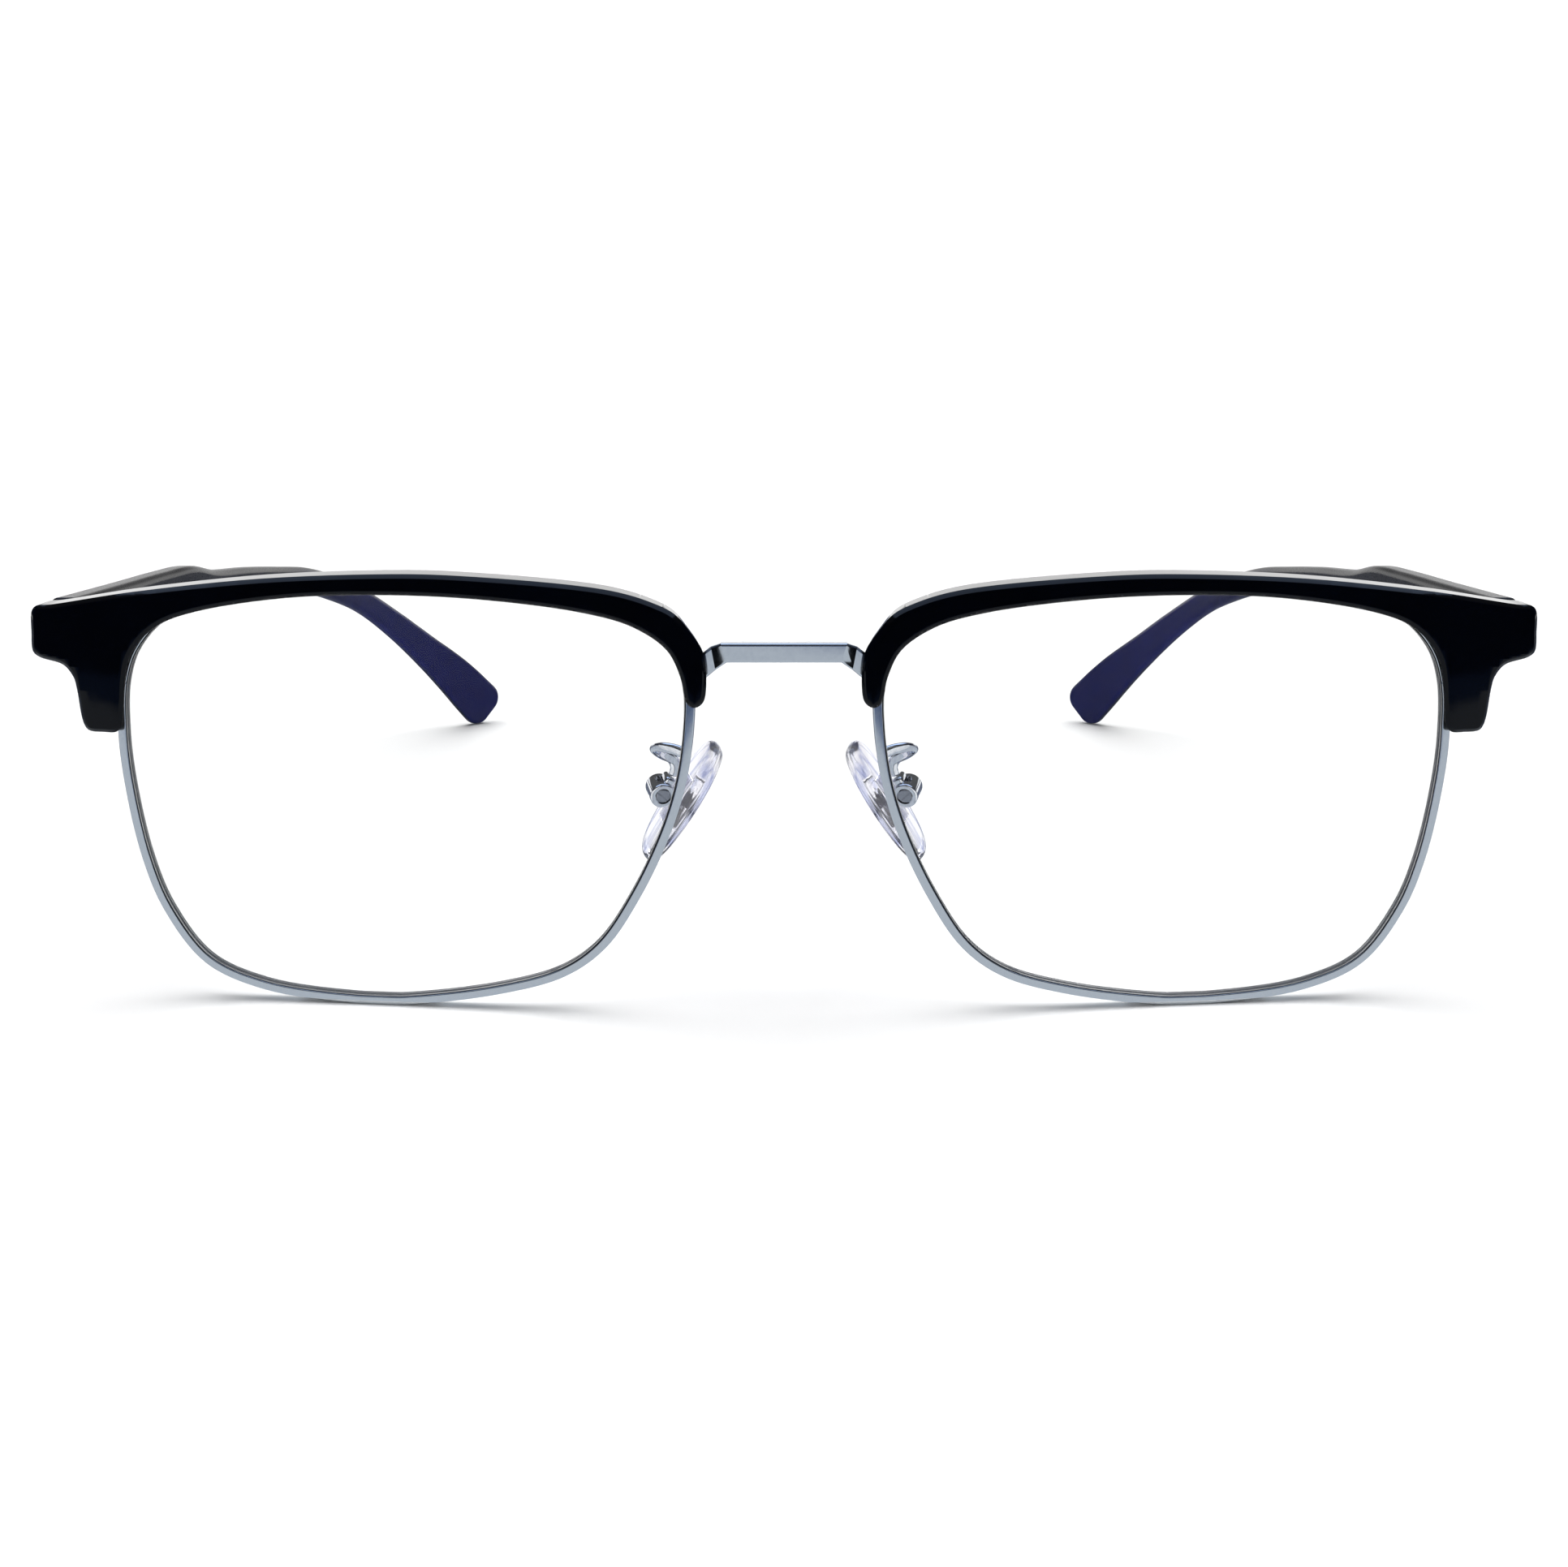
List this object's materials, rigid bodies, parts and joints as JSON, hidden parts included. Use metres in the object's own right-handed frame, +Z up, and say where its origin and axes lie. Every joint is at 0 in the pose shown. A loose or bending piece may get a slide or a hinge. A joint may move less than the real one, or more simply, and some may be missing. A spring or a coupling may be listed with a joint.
{
  "type": "half rim eyeglasses",
  "caption": "Browline eyeglasses: plastic brow bars over thin metal rims, metal bridge, adjustable nose pads and folding plastic temples.",
  "frame": {"origin": "on the table plane under the middle of the glasses' box, which the rim bottoms and the temple tips stand on", "axes": "+Z up, the glasses look along -Y, +X is the wearer's left"},
  "size_m": [0.1424, 0.141, 0.0413],
  "materials": {
    "brow_plastic": "glossy black with a slight navy tint",
    "rim_metal": "satin silver plating",
    "pad_metal": "bright plating",
    "hinge_metal": "bright plating",
    "screw_steel": "turned bright steel",
    "lens": "perfectly clear, polished",
    "pad_silicone": "clear silicone with a faint violet tint",
    "temple_plastic": "black outside, deep navy on the inner face, soft gloss",
    "pad_core_clear": "clear rigid plastic moulded into the pad",
    "core_wire": "plain wire"
  },
  "bodies": {
    "front": {"bridge": "rim_metal", "brow_bar_left": "brow_plastic", "rim_left": "rim_metal", "lens_left": "lens", "rim_lock_lower_left": "rim_metal", "rim_lock_upper_left": "rim_metal", "rim_lock_screw_left": "screw_steel", "pad_arm_left": "pad_metal", "pad_box_left": "pad_metal", "pad_screw_left": "screw_steel", "front_hinge_left": "hinge_metal", "hinge_screw_left": "screw_steel", "brow_bar_right": "brow_plastic", "rim_right": "rim_metal", "lens_right": "lens", "rim_lock_lower_right": "rim_metal", "rim_lock_upper_right": "rim_metal", "rim_lock_screw_right": "screw_steel", "pad_arm_right": "pad_metal", "pad_box_right": "pad_metal", "pad_screw_right": "screw_steel", "front_hinge_right": "hinge_metal", "hinge_screw_right": "screw_steel"},
    "temple_left": {"temple_left": "temple_plastic", "temple_core_left": "core_wire", "temple_hinge_left": "hinge_metal"},
    "pad_left": {"nose_pad_left": "pad_silicone", "pad_core_left": "pad_core_clear"},
    "temple_right": {"temple_right": "temple_plastic", "temple_core_right": "core_wire", "temple_hinge_right": "hinge_metal"},
    "pad_right": {"nose_pad_right": "pad_silicone", "pad_core_right": "pad_core_clear"}
  },
  "joints": [
    {"name": "temple_left_fold", "type": "hinge", "parent": "front", "child": "temple_left", "pos_m": [0.0667, -0.0572, 0.035], "axis": [0, 0, 1], "range_deg": [0, 84]},
    {"name": "temple_right_fold", "type": "hinge", "parent": "front", "child": "temple_right", "pos_m": [-0.0667, -0.0572, 0.035], "axis": [0, 0, -1], "range_deg": [0, 72]},
    {"name": "pad_left_rock", "type": "hinge", "parent": "front", "child": "pad_left", "pos_m": [0.01191, -0.062, 0.01945], "axis": [0.2443, 0.946, 0.2133], "range_deg": [-12, 12]},
    {"name": "pad_right_rock", "type": "hinge", "parent": "front", "child": "pad_right", "pos_m": [-0.01191, -0.062, 0.01945], "axis": [-0.2443, 0.946, 0.2133], "range_deg": [-12, 12]}
  ]
}
